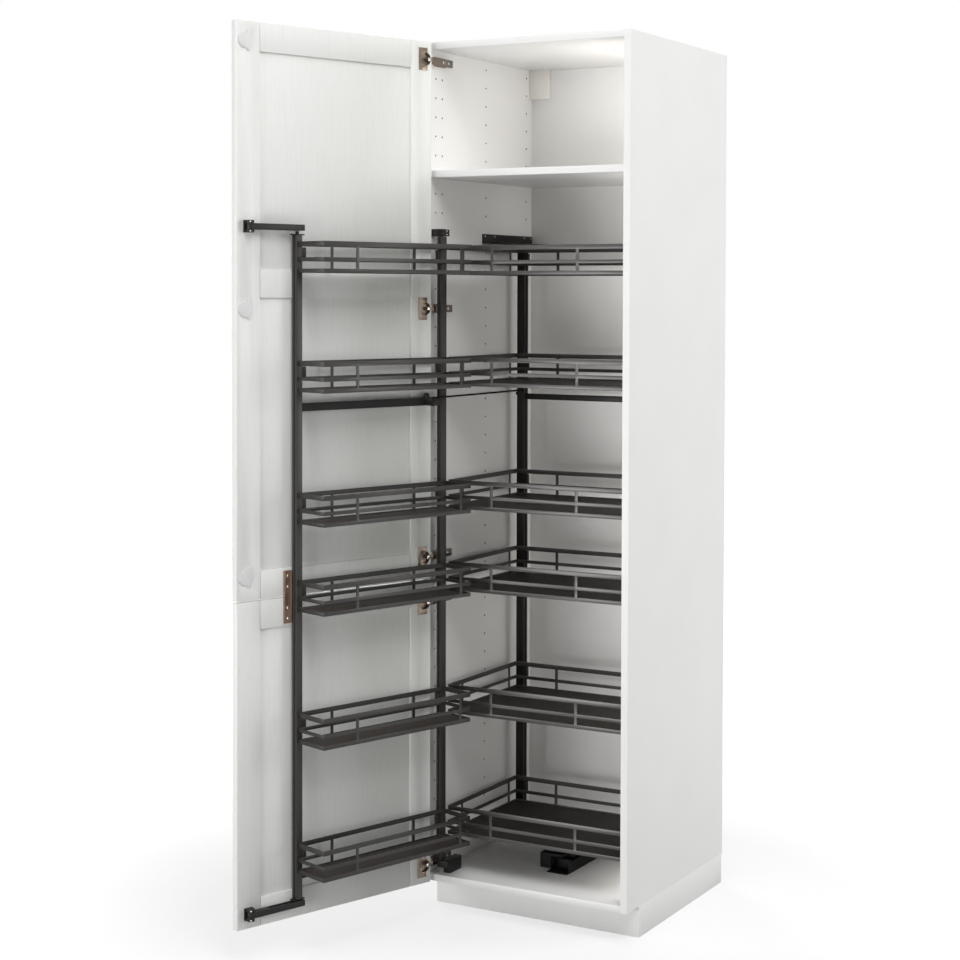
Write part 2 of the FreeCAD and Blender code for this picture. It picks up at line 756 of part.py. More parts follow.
def ring(x, y, z, length, depth, height):
    outside = box(x, y, z, length, depth, height)
    inside = box(f"{x} + rail_thickness", f"{y} + rail_thickness", z,
                 f"{length} - 2 * rail_thickness", f"{depth} - 2 * rail_thickness", height)
    return cut(outside, inside)


def tray_rails(x, y, level, length, depth, long_spots, short_spots):
    """Rails of one tray. The spots are distances along its long and short sides."""
    rim_low = f"({level} - rim_height / 2)"
    middle_low = f"({level} + rim_height / 2 + middle_rail_gap)"
    top_low = f"({middle_low} + middle_rail_height + top_rail_gap)"
    pieces = [
        ring(x, y, rim_low, length, depth, "rim_height"),
        ring(x, y, middle_low, length, depth, "middle_rail_height"),
        ring(x, y, top_low, length, depth, "top_rail_height"),
    ]
    rise = f"({top_low} + top_rail_height - {rim_low})"
    for spots, edge in zip(long_spots, (y, f"{y} + {depth} - rail_thickness")):
        for spot in spots:
            pieces.append(box(f"{x} + {spot} - upright_width / 2", edge, rim_low,
                              "upright_width", "rail_thickness", rise))
    for spots, edge in zip(short_spots, (x, f"{x} + {length} - rail_thickness")):
        for spot in spots:
            pieces.append(box(edge, f"{y} + {spot} - upright_width / 2", rim_low,
                              "rail_thickness", "upright_width", rise))
    return fuse(pieces)


def tray_floor(x, y, level, length, depth):
    low = f"{level} + rim_height / 2 - floor_drop - floor_thickness"
    return box(f"{x} + rail_thickness", f"{y} + rail_thickness", low,
               f"{length} - 2 * rail_thickness", f"{depth} - 2 * rail_thickness", "floor_thickness")


def clamp(x, y, level):
    low = f"{level} + rim_height / 2 + middle_rail_gap"
    return box(x, y, low, "clamp_width", "clamp_depth", "clamp_height")


# Front rack

def post(x, y, low, high, width):
    bar = box(f"{x} - {width} / 2", f"{y} - {width} / 2", low, width, width, f"{high} - {low}")
    grooves = []
    for side in ("-1", "1"):
        grooves.append(box(f"{x} + {side} * ({width} / 2 - groove_depth / 2) - groove_depth / 2",
                           f"{y} - groove_width / 2", low, "groove_depth", "groove_width", f"{high} - {low}"))
    return cut(bar, group(grooves))


def build_front_rack():
    node("front_pivot_post", on_front_rack(post("0", "0", pivot_post_bottom, post_top, "post_width")))
    node("front_free_post", on_front_rack(post(post_spacing, "0", post_bottom, free_post_top, "post_width")))
    span = f"({post_spacing} - post_width)"
    bars = []
    for level, height in ((cross_bar_level, "cross_bar_height"), (bottom_bar_level, "bottom_bar_height")):
        bars.append(box(post_half, f"{post_half} - cross_bar_thickness", level,
                        span, "cross_bar_thickness", height))
    pins = [
        rod("0", "0", post_top, "pivot_pin_radius", "pivot_pin_length"),
        rod("0", "0", f"{pivot_post_bottom} - pivot_pin_length", "pivot_pin_radius", "pivot_pin_length"),
    ]
    plates = []
    for low in (free_post_top, f"{post_bottom} - end_plate_thickness"):
        plates.append(box(f"{post_spacing} - end_plate_length / 2", "-end_plate_width / 2", low,
                          "end_plate_length", "end_plate_width", "end_plate_thickness"))
    roller = rod(post_spacing, "0", f"{free_post_top} + end_plate_thickness",
                 "roller_radius", "free_post_drop")
    node("front_post_fittings", on_front_rack(group(pins + [fuse([plates[0], roller]), plates[1]])))
    stud_arm = box("rod_stud_along - rod_stud_radius", post_half, cross_bar_level,
                   "2 * rod_stud_radius", f"rod_stud_across - {post_half}", "cross_bar_height / 2")
    stud = rod("rod_stud_along", "rod_stud_across", cross_bar_level, "rod_stud_radius",
               f"{rod_low} - rod_gap - {cross_bar_level}")
    bolt = rod("rod_stud_along", f"{post_half} - cross_bar_thickness + bolt_head_radius",
               f"{cross_bar_level} + cross_bar_height", "bolt_head_radius", "bolt_head_height")
    node("front_cross_bars", on_front_rack(group([fuse([bars[0], stud_arm, stud, bolt]), bars[1]])))
    length = f"({post_spacing} + tray_free_overhang + tray_pivot_overhang)"
    depth = f"(front_tray_reach - {post_half})"
    corner = ("-tray_pivot_overhang", post_half)
    floors = []
    clamps = []
    post_spots = [f"{length} * {share}" for share in FRONT_TRAY_POST_SIDE_SHARES]
    open_spots = [f"{length} * {share}" for share in FRONT_TRAY_OPEN_SIDE_SHARES]
    for number, level in enumerate(TRAY_LEVELS, 1):
        rails = tray_rails(*corner, level, length, depth, (post_spots, open_spots), ((), ()))
        node("front_tray_%d" % number, on_front_rack(rails))
        floors.append(tray_floor(*corner, level, length, depth))
        for x in (post_half, f"{post_spacing} - {post_half} - clamp_width"):
            clamps.append(clamp(x, f"{post_half} - clamp_depth", level))
    node("front_tray_floors", on_front_rack(group(floors)))
    node("front_tray_clamps", on_front_rack(group(clamps)))


def build_front_brackets():
    wall = f"(-{inner_half})"
    low = f"({post_top} + pivot_gap)"
    body = box(wall, f"{pivot_y} - pivot_ear_radius", low,
               "pivot_side_inset + pivot_ear_radius", "pivot_ear_radius * 2", "pivot_block_height")
    tab = box(wall, pivot_y, low, "pivot_tab_width", "pivot_tab_length", "pivot_block_height")
    bore = rod(pivot_x, pivot_y, low, "pivot_bore_radius", "pivot_block_height")
    node("front_top_bracket", cut(fuse([body, tab]), bore))
    base_x = f"({pivot_x} + pivot_block_offset)"
    base_y = f"({pivot_y} + pivot_block_setback)"
    height = f"({pivot_post_bottom} - pivot_gap - {floor_top})"
    base = box(base_x, base_y, floor_top, "pivot_block_width", "pivot_block_length", height)
    ear_low = f"({floor_top} + {height} - pivot_block_height)"
    ear = rod(pivot_x, pivot_y, ear_low, "pivot_ear_radius", "pivot_block_height")
    arm = box(pivot_x, f"{pivot_y} - pivot_ear_radius", ear_low,
              "pivot_block_offset + pivot_block_width", "2 * pivot_ear_radius", "pivot_block_height")
    hole = rod(pivot_x, pivot_y, ear_low, "pivot_bore_radius", "pivot_block_height")
    node("front_floor_bracket", cut(fuse([base, ear, arm]), hole))


# Rear rack

def build_rear_rack():
    right_x = f"({rear_right} - rear_post_width / 2)"
    posts = []
    for post_x in (rear_post_x, right_x):
        posts.append(post(post_x, rear_post_y, rear_post_bottom, rear_post_top, "rear_post_width"))
    node("rear_posts", group(posts))
    span = f"({right_x} - {rear_post_x} - rear_post_width)"
    node("rear_cross_bar", box(f"{rear_post_x} + rear_post_width / 2",
                               f"{rear_post_y} - cross_bar_thickness / 2",
                               f"{TRAY_LEVELS[1]} - rear_bar_drop",
                               span, "cross_bar_thickness", "rear_bar_height"))
    length = f"({rear_right} - {rear_left})"
    corner = (rear_left, rear_front)
    long_spots = [f"{length} * {share}" for share in REAR_TRAY_SHARES]
    side_spots = ("rear_upright_front_inset", f"{rear_tray_depth} - rear_upright_back_inset")
    floors = []
    clamps = []
    for number, level in enumerate(TRAY_LEVELS, 1):
        rails = tray_rails(*corner, level, length, rear_tray_depth,
                           (long_spots, long_spots), (side_spots, side_spots))
        node("rear_tray_%d" % number, rails)
        floors.append(tray_floor(*corner, level, length, rear_tray_depth))
        for x in (f"{rear_left} + rear_post_width", f"{rear_right} - rear_post_width - clamp_width"):
            clamps.append(clamp(x, rear_back, level))
    node("rear_tray_floors", group(floors))
    node("rear_tray_clamps", group(clamps))
    guide_pin = rod(rear_post_x, rear_post_y, rear_post_top, "top_pin_radius", "top_pin_rise")
    lug_low = f"({rod_low} - rod_gap - cross_bar_thickness)"
    lug = box(f"{rear_post_x} - rod_eye_radius", f"{rear_back} - rod_lug_length", lug_low,
              "2 * rod_eye_radius", "rod_lug_length", "cross_bar_thickness")
    pin = rod(rear_post_x, rod_rear_y, lug_low, "rod_pin_radius",
              "cross_bar_thickness + rod_eye_height + 2 * rod_gap")
    node("rear_post_fittings", group([guide_pin, fuse([lug, pin])]))


def build_rear_guides():
    track_front = f"({carcass_front} + track_front_inset)"
    track_left = "(track_offset - track_width / 2)"
    channel = box(track_left, track_front, floor_top, "track_width", "track_length", "track_height")
    room = box(f"{track_left} + track_wall", f"{track_front} - overrun", f"{floor_top} + track_wall",
               "track_width - 2 * track_wall", "track_length + 2 * overrun", "track_height")
    lip = box(track_left, f"{track_front} - track_lip", floor_top, "track_width", "track_lip", "track_wall")
    node("rear_floor_track", fuse([cut(channel, room), lip]))
    width = "(track_width - 2 * track_wall - 2 * carriage_play)"
    start = f"({track_front} + carriage_lead)"
    low = f"({floor_top} + track_wall + carriage_play)"
    block = box(f"track_offset - {width} / 2", start, low, width, "carriage_length", "carriage_height")
    stem_top = f"({bottom_tray} + rim_height / 2 - floor_drop - floor_thickness)"
    stem = box("track_offset - carriage_post_width / 2",
               f"{start} + carriage_length / 2 - carriage_post_length / 2", f"{low} + carriage_height",
               "carriage_post_width", "carriage_post_length", f"{stem_top} - {low} - carriage_height")
    housing_left = f"({track_left} - housing_gap - housing_width)"
    housing_front = f"({start} - housing_advance)"
    housing = box(housing_left, housing_front, f"{floor_top} + housing_gap",
                  "housing_width", "housing_length", "track_height + housing_rise - housing_gap")
    bridge = box(housing_left, housing_front, f"{floor_top} + track_height + housing_rise - bridge_height",
                 f"track_offset - {housing_left}", "housing_length + housing_advance", "bridge_height")
    node("rear_carriage", fuse([block, stem, housing, bridge]))
    corner = (f"(-{inner_half})", f"({back_face} - top_guide_length)", top_guide_level)
    web = box(*corner, "top_guide_thickness", "top_guide_length", "top_guide_height")
    flange = box(*corner, "top_guide_width", "top_guide_length", "top_guide_thickness")
    slot_start = f"({rear_post_y} - top_guide_slot_end)"
    slot = box(f"{rear_post_x} - top_guide_slot_width / 2", slot_start, f"{top_guide_level} - overrun",
               "top_guide_slot_width", "rear_slide_travel + 2 * top_guide_slot_end",
               "top_guide_thickness + 2 * overrun")
    node("rear_top_guide", cut(fuse([web, flange]), slot))


def build_link_rod():
    front_x = f"({pivot_x} + rod_stud_along * cos(rack_open_angle) + rod_stud_across * sin(rack_open_angle))"
    front_y = f"({pivot_y} - rod_stud_along * sin(rack_open_angle) + rod_stud_across * cos(rack_open_angle))"
    length = f"sqrt(({front_x} - {rear_post_x})^2 + ({front_y} - {rod_rear_y})^2)"
    turn = f"atan(({front_x} - {rear_post_x}) / ({rod_rear_y} - {front_y}))"
    pieces = [
        rod("0", f"-({length})", rod_level, "rod_radius", length, "y"),
        rod("0", "0", rod_low, "rod_eye_radius", "rod_eye_height"),
        rod("0", f"-({length})", rod_low, "rod_eye_radius", "rod_eye_height"),
    ]
    bore = rod("0", "0", f"{rod_low} - overrun", "rod_bore_radius", "rod_eye_height + 2 * overrun")
    node("link_rod", place(cut(fuse(pieces), bore), rear_post_x, rod_rear_y, "0", turn))


build_carcass()
build_plinth()
build_door()
build_hinge_arms()
build_hinge_links()
build_guide_arms()
build_front_rack()
build_front_brackets()
build_rear_rack()
build_rear_guides()
build_link_rod()
doc.recompute()

for item in doc.Objects:
    if "Invalid" in item.State or "Error" in item.State:
        raise ValueError("%s failed: %s" % (item.Label, item.State))
for item in nodes:
    if item.Shape.isNull() or not item.Shape.isValid() or not item.Shape.Solids:
        raise ValueError("%s has no sound shape" % item.Label)

os.makedirs("parts", exist_ok=True)
for item in nodes:
    item.Shape.exportStep("parts/%s.step" % item.Label)
print(len(nodes), "nodes,", sum(len(item.Shape.Solids) for item in nodes), "solids")
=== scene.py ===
import json
import math
import bmesh
import bpy
from mathutils import Matrix, Vector


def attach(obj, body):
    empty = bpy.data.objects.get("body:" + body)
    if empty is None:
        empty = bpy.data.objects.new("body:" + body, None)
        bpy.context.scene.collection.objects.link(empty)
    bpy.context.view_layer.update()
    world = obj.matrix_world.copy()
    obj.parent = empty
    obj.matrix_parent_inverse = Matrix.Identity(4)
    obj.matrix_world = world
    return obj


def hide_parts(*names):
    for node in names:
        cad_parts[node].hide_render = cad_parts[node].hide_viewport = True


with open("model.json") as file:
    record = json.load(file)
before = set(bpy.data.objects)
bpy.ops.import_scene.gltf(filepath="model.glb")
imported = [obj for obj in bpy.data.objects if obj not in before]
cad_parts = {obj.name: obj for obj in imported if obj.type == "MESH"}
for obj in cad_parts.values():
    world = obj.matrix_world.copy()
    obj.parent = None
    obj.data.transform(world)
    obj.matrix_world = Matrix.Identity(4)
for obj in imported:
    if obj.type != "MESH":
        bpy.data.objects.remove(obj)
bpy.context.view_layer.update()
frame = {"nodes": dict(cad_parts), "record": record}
scene = bpy.context.scene
bodies = frame["record"]["behaviour"]["bodies"]
body_of_node = {node: body for body, members in bodies.items() for node in members}
slot_of_node = {entry["node"]: entry["material_slot"] for entry in frame["record"]["subparts"]}


# Materials

# Most of a noise texture's values lie in this range, which ramps and ranges spread out
NOISE_LOW, NOISE_HIGH = 0.3, 0.7
EVEN = (1, 1, 1)
WHITE = (1, 1, 1)


def new_material(name):
    material = bpy.data.materials.new(name)
    material.use_nodes = True
    tree = material.node_tree
    return material, tree, tree.nodes["Principled BSDF"]


def noise(tree, scale, stretch, detail):
    """Noise in the object's own frame, stretched along its axes."""
    where = tree.nodes.new("ShaderNodeTexCoord")
    mapping = tree.nodes.new("ShaderNodeMapping")
    mapping.inputs["Scale"].default_value = stretch
    texture = tree.nodes.new("ShaderNodeTexNoise")
    texture.inputs["Scale"].default_value = scale
    texture.inputs["Detail"].default_value = detail
    tree.links.new(where.outputs["Object"], mapping.inputs["Vector"])
    tree.links.new(mapping.outputs["Vector"], texture.inputs["Vector"])
    return texture.outputs["Fac"]


def ramp(tree, value, low, high, start=NOISE_LOW, end=NOISE_HIGH):
    """Colours from low to high as the value goes from start to end."""
    node = tree.nodes.new("ShaderNodeValToRGB")
    node.color_ramp.elements[0].position = start
    node.color_ramp.elements[1].position = end
    node.color_ramp.elements[0].color = (*low, 1)
    node.color_ramp.elements[1].color = (*high, 1)
    tree.links.new(value, node.inputs["Fac"])
    return node.outputs["Color"]


def spread(tree, value, low, high, start=NOISE_LOW, end=NOISE_HIGH):
    """Numbers from low to high as the value goes from start to end."""
    node = tree.nodes.new("ShaderNodeMapRange")
    node.inputs["From Min"].default_value = start
    node.inputs["From Max"].default_value = end
    node.inputs["To Min"].default_value = low
    node.inputs["To Max"].default_value = high
    tree.links.new(value, node.inputs["Value"])
    return node.outputs["Result"]


def bump(tree, shader, value, strength, distance):
    node = tree.nodes.new("ShaderNodeBump")
    node.inputs["Strength"].default_value = strength
    node.inputs["Distance"].default_value = distance
    tree.links.new(value, node.inputs["Height"])
    tree.links.new(node.outputs["Normal"], shader.inputs["Normal"])


def multiply(tree, first, second):
    """The product of two colours."""
    node = tree.nodes.new("ShaderNodeMix")
    node.data_type = "RGBA"
    node.blend_type = "MULTIPLY"
    node.inputs["Factor"].default_value = 1
    tree.links.new(first, node.inputs["A"])
    tree.links.new(second, node.inputs["B"])
    return node.outputs["Result"]


def combine(tree, operation, first, second):
    """One number from two."""
    node = tree.nodes.new("ShaderNodeMath")
    node.operation = operation
    tree.links.new(first, node.inputs[0])
    tree.links.new(second, node.inputs[1])
    return node.outputs["Value"]


def any_ray(tree, first, *others):
    """1 for a ray of any of these kinds, otherwise 0."""
    path = tree.nodes.new("ShaderNodeLightPath")
    seen = path.outputs[first]
    for kind in others:
        seen = combine(tree, "MAXIMUM", seen, path.outputs[kind])
    return seen


def coated(name, low, high, rough, grain, metallic=0.0, stretch=EVEN, shine=0.5):
    """A finish with slight changes of tone and gloss and a fine surface."""
    material, tree, shader = new_material(name)
    tone = noise(tree, scale=6, stretch=stretch, detail=3)
    fine = noise(tree, scale=grain, stretch=stretch, detail=6)
    tree.links.new(ramp(tree, tone, low, high), shader.inputs["Base Color"])
    tree.links.new(spread(tree, fine, *rough), shader.inputs["Roughness"])
    shader.inputs["Metallic"].default_value = metallic
    shader.inputs["Specular IOR Level"].default_value = shine
    bump(tree, shader, fine, strength=0.2, distance=0.0001)
    return material


def wood_effect(name, low, high, groove):
    """Painted board with a fine open grain that runs upright."""
    material, tree, shader = new_material(name)
    tone = noise(tree, scale=3, stretch=(1, 1, 0.3), detail=3)
    grain = noise(tree, scale=230, stretch=(1, 1, 0.045), detail=5)
    pores = noise(tree, scale=620, stretch=(1, 1, 0.03), detail=3)
    base = ramp(tree, tone, low, high)
    base = multiply(tree, base, ramp(tree, grain, groove, WHITE, start=0.34, end=0.52))
    base = multiply(tree, base, ramp(tree, pores, groove, WHITE, start=0.3, end=0.45))
    tree.links.new(base, shader.inputs["Base Color"])
    tree.links.new(spread(tree, pores, low=0.40, high=0.56), shader.inputs["Roughness"])
    bump(tree, shader, grain, strength=0.16, distance=0.0003)
    return material


# Finishes with the name of a material slot are that slot's own
COATINGS = {
    "white_board": dict(
        low=(0.845, 0.842, 0.832), high=(0.865, 0.862, 0.853), rough=(0.36, 0.44), grain=700),
    "dark_profile": dict(
        low=(0.033, 0.031, 0.028), high=(0.042, 0.039, 0.036), rough=(0.36, 0.46), grain=900,
        metallic=0.1, stretch=(1, 1, 0.05), shine=0.3),
    "dark_rail": dict(
        low=(0.036, 0.033, 0.031), high=(0.046, 0.042, 0.039), rough=(0.30, 0.40), grain=1400,
        shine=0.65),
    # Painted shade: a darker copy of the dark_rail finish for the front trays' rails
    "swing_rail_painted_shade": dict(
        low=(0.020, 0.018, 0.017), high=(0.028, 0.025, 0.024), rough=(0.32, 0.42), grain=1400,
        shine=0.42),
    # Painted light: a lighter copy of the tray_floor finish for the front trays' floors
    "swing_floor_painted_light": dict(
        low=(0.047, 0.040, 0.036), high=(0.058, 0.050, 0.045), rough=(0.5, 0.64), grain=1800,
        shine=0.15),
    "tray_floor": dict(
        low=(0.026, 0.022, 0.020), high=(0.034, 0.029, 0.026), rough=(0.5, 0.64), grain=1800,
        shine=0.12),
    "black_fitting": dict(
        low=(0.010, 0.010, 0.010), high=(0.016, 0.016, 0.015), rough=(0.4, 0.55), grain=900,
        shine=0.3),
    "black_steel": dict(
        low=(0.012, 0.011, 0.011), high=(0.018, 0.017, 0.016), rough=(0.34, 0.46), grain=1200,
        shine=0.2),
    "black_matt": dict(
        low=(0.005, 0.005, 0.005), high=(0.008, 0.008, 0.008), rough=(0.5, 0.62), grain=900,
        shine=0.12),
    "hinge_steel": dict(
        low=(0.175, 0.14, 0.115), high=(0.25, 0.205, 0.17), rough=(0.22, 0.34), grain=900,
        metallic=1.0, stretch=(1, 1, 8)),
    "bright_steel": dict(
        low=(0.72, 0.70, 0.68), high=(0.80, 0.78, 0.76), rough=(0.16, 0.26), grain=900,
        metallic=1.0),
    "copper_steel": dict(
        low=(0.17, 0.105, 0.075), high=(0.23, 0.145, 0.105), rough=(0.30, 0.42), grain=900,
        metallic=0.7),
    "white_plastic": dict(
        low=(0.80, 0.80, 0.785), high=(0.83, 0.83, 0.815), rough=(0.38, 0.5), grain=500),
    "cover_plastic": dict(
        low=(0.79, 0.775, 0.735), high=(0.815, 0.80, 0.76), rough=(0.42, 0.55), grain=500),
    "plug_plastic": dict(
        low=(0.70, 0.705, 0.70), high=(0.74, 0.745, 0.74), rough=(0.42, 0.55), grain=500),
    # Painted shade: a near-black finish laid on the walls and floors of the system holes, where
    # shade falls
    "painted_hole_shade": dict(
        low=(0.012, 0.010, 0.009), high=(0.020, 0.018, 0.015), rough=(0.7, 0.85), grain=300,
        shine=0.1),
}
finishes = {name: coated(name, **values) for name, values in COATINGS.items()}
finishes["door_board"] = wood_effect(
    "door_board", low=(0.80, 0.81, 0.785), high=(0.825, 0.835, 0.81), groove=(0.968, 0.968, 0.965))

# Nodes that look different from the rest of their material slot; the front trays' rails and floors
# differ only by painted shade and painted light, as darker and lighter copies of their slots'
# finishes
FINISH_OF_NODE = {
    "hinge_links": "bright_steel",
    "hinge_plate_screws": "bright_steel",
    "leaf_connector_screws": "bright_steel",
    "spare_hole_plugs": "plug_plastic",
    "wall_bracket_covers": "cover_plastic",
    "rear_posts": "black_steel",
    "front_cross_bars": "black_steel",
    "rear_cross_bar": "black_steel",
    "link_rod": "black_matt",
    "rear_carriage": "black_matt",
    "rear_floor_track": "black_matt",
    # Painted light: the front trays' floors get a lighter copy of the tray_floor finish
    "front_tray_floors": "swing_floor_painted_light",
    # Painted shade: the front trays' rails get a darker copy of the dark_rail finish
    "front_tray_1": "swing_rail_painted_shade",
    "front_tray_2": "swing_rail_painted_shade",
    "front_tray_3": "swing_rail_painted_shade",
    "front_tray_4": "swing_rail_painted_shade",
    "front_tray_5": "swing_rail_painted_shade",
    "front_tray_6": "swing_rail_painted_shade",
}


# Softened edges on the CAD shapes

# Width of the rounded edges in each material slot, in metres
EDGE_WIDTHS = {
    "white_board": 0.0006,
    "door_board": 0.0009,
    "dark_profile": 0.0008,
    "dark_rail": 0.0005,
    "tray_floor": 0.0004,
    "black_fitting": 0.0012,
    "black_steel": 0.0007,
    "hinge_steel": 0.0004,
    "copper_steel": 0.0005,
    "white_plastic": 0.0008,
}
# Panels with rows of holes keep their CAD mesh
PLAIN_NODES = ("left_side_panel", "right_side_panel")
WELD_DISTANCE = 0.000005
FLAT_ANGLE = math.radians(0.5)
ROUNDED_ANGLE = math.radians(50)
SHARP_ANGLE = math.radians(32)
PANEL_SKIN = 0.0002


def add_object(name, mesh):
    piece = bpy.data.objects.new(name, mesh)
    scene.collection.objects.link(piece)
    return piece


def shade_smooth(mesh, sharp_angle):
    for face in mesh.polygons:
        face.use_smooth = True
    mesh.set_sharp_from_angle(angle=sharp_angle)


def clean_copy(source, name):
    """The node's shape as a new object with flat faces joined."""
    mesh = bpy.data.meshes.new(name)
    shape = bmesh.new()
    shape.from_mesh(source.data)
    bmesh.ops.remove_doubles(shape, verts=shape.verts, dist=WELD_DISTANCE)
    bmesh.ops.dissolve_limit(
        shape, angle_limit=FLAT_ANGLE, verts=shape.verts, edges=shape.edges)
    shape.to_mesh(mesh)
    shape.free()
    piece = add_object(name, mesh)
    piece.matrix_world = source.matrix_world
    return piece


def bake_modifiers(piece):
    graph = bpy.context.evaluated_depsgraph_get()
    mesh = bpy.data.meshes.new_from_object(piece.evaluated_get(graph))
    piece.modifiers.clear()
    piece.data = mesh


def soften(node, width):
    """Stand in for a CAD node with the same shape and small rounded edges."""
    piece = clean_copy(frame["nodes"][node], node + "_finished")
    bevel = piece.modifiers.new("edges", "BEVEL")
    bevel.width = width
    bevel.segments = 2
    bevel.limit_method = "ANGLE"
    bevel.angle_limit = ROUNDED_ANGLE
    bake_modifiers(piece)
    shade_smooth(piece.data, SHARP_ANGLE)
    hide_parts(node)
    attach(piece, body_of_node[node])
    return piece


def shade_holes(panel):
    """Paint the walls and floors of the system holes near black: painted shade in the holes."""
    panel.data.materials.append(finishes["painted_hole_shade"])
    hole_index = len(panel.data.materials) - 1
    sides = list(zip(*panel.bound_box))
    for face in panel.data.polygons:
        if all(min(side) + PANEL_SKIN < middle < max(side) - PANEL_SKIN
               for side, middle in zip(sides, face.center)):
            face.material_index = hole_index


def dress_nodes():
    for node, source in frame["nodes"].items():
        slot = slot_of_node[node]
        piece = source if node in PLAIN_NODES else soften(node, EDGE_WIDTHS[slot])
        piece.data.materials.clear()
        piece.data.materials.append(finishes[FINISH_OF_NODE.get(node, slot)])
        if node in PLAIN_NODES:
            shade_holes(piece)


dress_nodes()


# Small screw heads and pin ends that the CAD shapes leave out

HEAD_SIDES = 20
HEAD_TAPER = 0.72
HEAD_SHARP_ANGLE = math.radians(50)
SMALL_RADIUS, LARGE_RADIUS = 0.0024, 0.0028
FLAT_HEAD, ROUND_HEAD, TALL_HEAD = 0.0009, 0.0012, 0.0022
RIGHT, UP = (1, 0, 0), (0, 0, 1)

TOP_GUIDE_FACE_X, TOP_GUIDE_SCREW_Z = -0.279, 1.784
TOP_GUIDE_SCREW_YS = (0.203, 0.254, 0.421, 0.459)
TOP_BRACKET_FACE_X, TOP_BRACKET_SCREW_Y = -0.260, -0.030
TOP_BRACKET_SCREW_ZS = (1.7815, 1.7905)
# The guide arms turn on the door here, and their pins' ends look this way
GUIDE_PIVOT = Vector((-0.442345, -0.631962, 0))
GUIDE_PIN_FACING = Vector((0.607, -0.795, 0))
GUIDE_PIN_REACH = 0.0086
GUIDE_PIN_ZS = (0.1071, 0.1299, 1.7751, 1.7979)
ROLLER_SCREW_SPOT = (-0.40302, -0.51756, 1.771)


def screw_head(name, spot, facing, radius, height, body):
    """A tapered head that stands on a face and looks along its normal."""
    mesh = bpy.data.meshes.new(name)
    shape = bmesh.new()
    bmesh.ops.create_cone(
        shape, cap_ends=True, segments=HEAD_SIDES,
        radius1=radius, radius2=radius * HEAD_TAPER, depth=height)
    shape.to_mesh(mesh)
    shape.free()
    shade_smooth(mesh, HEAD_SHARP_ANGLE)
    piece = add_object(name, mesh)
    normal = Vector(facing).normalized()
    centre = Vector(spot) + normal * height / 2
    turn = normal.to_track_quat("Z", "Y").to_matrix().to_4x4()
    piece.matrix_world = Matrix.Translation(centre) @ turn
    mesh.materials.append(finishes["bright_steel"])
    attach(piece, body)


def add_screw_heads():
    for number, y in enumerate(TOP_GUIDE_SCREW_YS):
        spot = (TOP_GUIDE_FACE_X, y, TOP_GUIDE_SCREW_Z)
        screw_head("top_guide_screw_%d" % number, spot, RIGHT,
                   SMALL_RADIUS, FLAT_HEAD, "carcass")
    for number, z in enumerate(TOP_BRACKET_SCREW_ZS):
        spot = (TOP_BRACKET_FACE_X, TOP_BRACKET_SCREW_Y, z)
        screw_head("top_bracket_screw_%d" % number, spot, RIGHT,
                   SMALL_RADIUS, ROUND_HEAD, "carcass")
    for number, z in enumerate(GUIDE_PIN_ZS):
        spot = GUIDE_PIVOT + GUIDE_PIN_FACING * GUIDE_PIN_REACH + Vector((0, 0, z))
        screw_head("guide_pin_end_%d" % number, spot, GUIDE_PIN_FACING,
                   SMALL_RADIUS, ROUND_HEAD, "door")
    screw_head("roller_screw", ROLLER_SCREW_SPOT, UP,
               LARGE_RADIUS, TALL_HEAD, "front_rack")


add_screw_heads()


# Floor, light and camera

FLOOR_SIZE = 60
FLOOR_TONE = (0.38, 0.38, 0.38, 1)
# The floor's own glow where the camera sees it, near the object and away from it, in metres
GLOW_NEAR, GLOW_AWAY = 0.62, 1.0
NEAR_DISTANCE, AWAY_DISTANCE = 0.9, 2.4
WORLD_LIGHT, WORLD_SEEN = 0.17, 1.0

# Name, place, target, width, height and power in watts
STUDIO_LAMPS = (
    ("left_softbox", (-3.8, -4.2, 2.0), (0, 0, 1.1), 2.4, 3.0, 70),
    ("front_softbox", (-1.2, -5.0, 0.6), (0, 0, 0.6), 2.6, 1.0, 100),
    ("overhead", (0.9, -0.9, 5.2), (-0.1, -0.3, 1.0), 3.0, 3.0, 84),
    ("high_softbox", (2.6, -2.4, 4.6), (0, -0.2, 1.6), 2.0, 2.0, 66),
    ("rear_right_softbox", (4.2, 2.2, 1.9), (0.3, 0.2, 1.2), 2.0, 2.6, 98),
    ("rear_left_softbox", (-3.6, 3.4, 2.6), (0, 0.2, 1.2), 2.4, 3.0, 115),
)
# Lamps flat on the right side panel's inner face: name, y, depth, z, height and power
INNER_LAMPS = (
    ("cabinet_fill", 0.20, 0.50, 1.14, 1.56, 3.5),
    ("compartment_fill", 0.15, 0.36, 2.06, 0.16, 0.82),
    ("floor_fill", 0.12, 0.30, 0.16, 0.08, 0.24),
)
INNER_LAMP_X = 0.28
INNER_LAMP_COLOUR = (1, 0.97, 0.925)

# The photo's viewpoint, with angles in degrees and the lens in millimetres
CAMERA_PLACE = (2.37213, -4.31445, 1.62666)
CAMERA_PAN, CAMERA_TILT, CAMERA_ROLL = 28.52436, 1.66760, 0.20373
CAMERA_LENS, CAMERA_SENSOR = 71.464, 36
CAMERA_SHIFT_X, CAMERA_SHIFT_Y = -0.0705, -0.1361


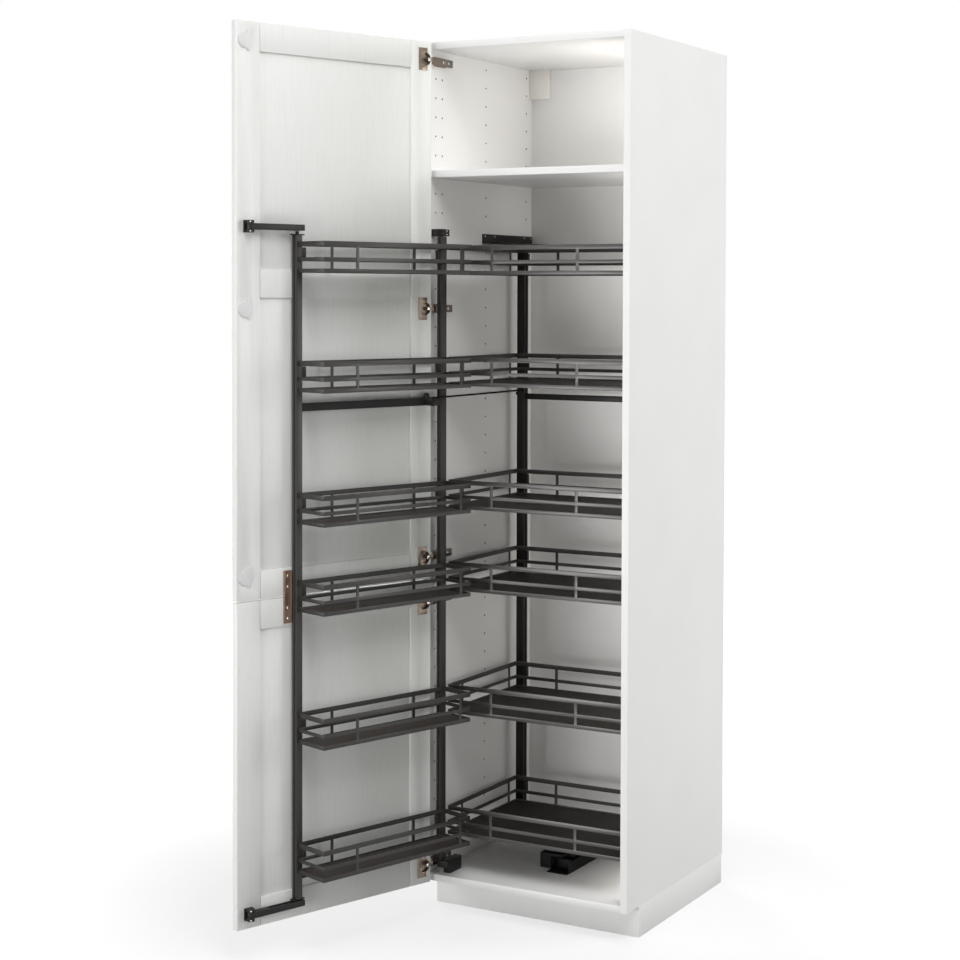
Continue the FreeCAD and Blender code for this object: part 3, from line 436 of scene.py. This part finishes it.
def build_floor():
    """A pale floor that keeps a faint shadow near the object and fades to white around it."""
    bpy.ops.mesh.primitive_plane_add(size=FLOOR_SIZE, location=(0, 0, 0))
    floor = bpy.context.object
    floor.name = "floor"
    material, tree, shader = new_material("floor_white")
    shader.inputs["Base Color"].default_value = FLOOR_TONE
    shader.inputs["Roughness"].default_value = 0.9
    shader.inputs["Specular IOR Level"].default_value = 0
    shader.inputs["Emission Color"].default_value = (*WHITE, 1)
    where = tree.nodes.new("ShaderNodeTexCoord")
    away = tree.nodes.new("ShaderNodeVectorMath")
    away.operation = "LENGTH"
    tree.links.new(where.outputs["Object"], away.inputs[0])
    fade = spread(tree, away.outputs["Value"], GLOW_NEAR, GLOW_AWAY, NEAR_DISTANCE, AWAY_DISTANCE)
    seen = any_ray(tree, "Is Camera Ray", "Is Glossy Ray")
    glow = combine(tree, "MULTIPLY", seen, fade)
    tree.links.new(glow, shader.inputs["Emission Strength"])
    floor.data.materials.append(material)


def build_world():
    """A white surround that looks brighter than the light it gives."""
    world = bpy.data.worlds.new("studio")
    scene.world = world
    world.use_nodes = True
    tree = world.node_tree
    background = tree.nodes["Background"]
    background.inputs["Color"].default_value = (*WHITE, 1)
    seen = any_ray(tree, "Is Camera Ray", "Is Transmission Ray", "Is Glossy Ray")
    level = spread(tree, seen, WORLD_LIGHT, WORLD_SEEN, start=0, end=1)
    tree.links.new(level, background.inputs["Strength"])


def soft_light(name, place, target, width, height, power):
    lamp = bpy.data.lights.new(name, "AREA")
    lamp.shape = "RECTANGLE"
    lamp.size = width
    lamp.size_y = height
    lamp.energy = power
    holder = add_object(name, lamp)
    holder.location = place
    aim = Vector(target) - Vector(place)
    holder.rotation_euler = aim.to_track_quat("-Z", "Y").to_euler()
    return holder


def build_lights():
    for lamp in STUDIO_LAMPS:
        soft_light(*lamp)
    for name, y, depth, z, height, power in INNER_LAMPS:
        place, target = (INNER_LAMP_X, y, z), (-INNER_LAMP_X, y, z)
        holder = soft_light(name, place, target, depth, height, power)
        holder.data.color = INNER_LAMP_COLOUR
        holder.visible_camera = False


def build_camera():
    pan, tilt, roll = (math.radians(angle) for angle in (CAMERA_PAN, CAMERA_TILT, CAMERA_ROLL))
    forward = Vector((
        -math.sin(pan) * math.cos(tilt), math.cos(pan) * math.cos(tilt), -math.sin(tilt)))
    level_right = Vector((math.cos(pan), math.sin(pan), 0))
    level_up = level_right.cross(forward)
    right = level_right * math.cos(roll) + level_up * math.sin(roll)
    up = level_up * math.cos(roll) - level_right * math.sin(roll)
    camera = bpy.data.cameras.new("camera")
    camera.sensor_width = CAMERA_SENSOR
    camera.lens = CAMERA_LENS
    camera.shift_x = CAMERA_SHIFT_X
    camera.shift_y = CAMERA_SHIFT_Y
    holder = add_object("camera", camera)
    turn = Matrix((right, up, -forward)).transposed().to_4x4()
    holder.matrix_world = Matrix.Translation(CAMERA_PLACE) @ turn
    scene.camera = holder


build_floor()
build_world()
build_lights()
build_camera()
scene.view_settings.view_transform = "Standard"
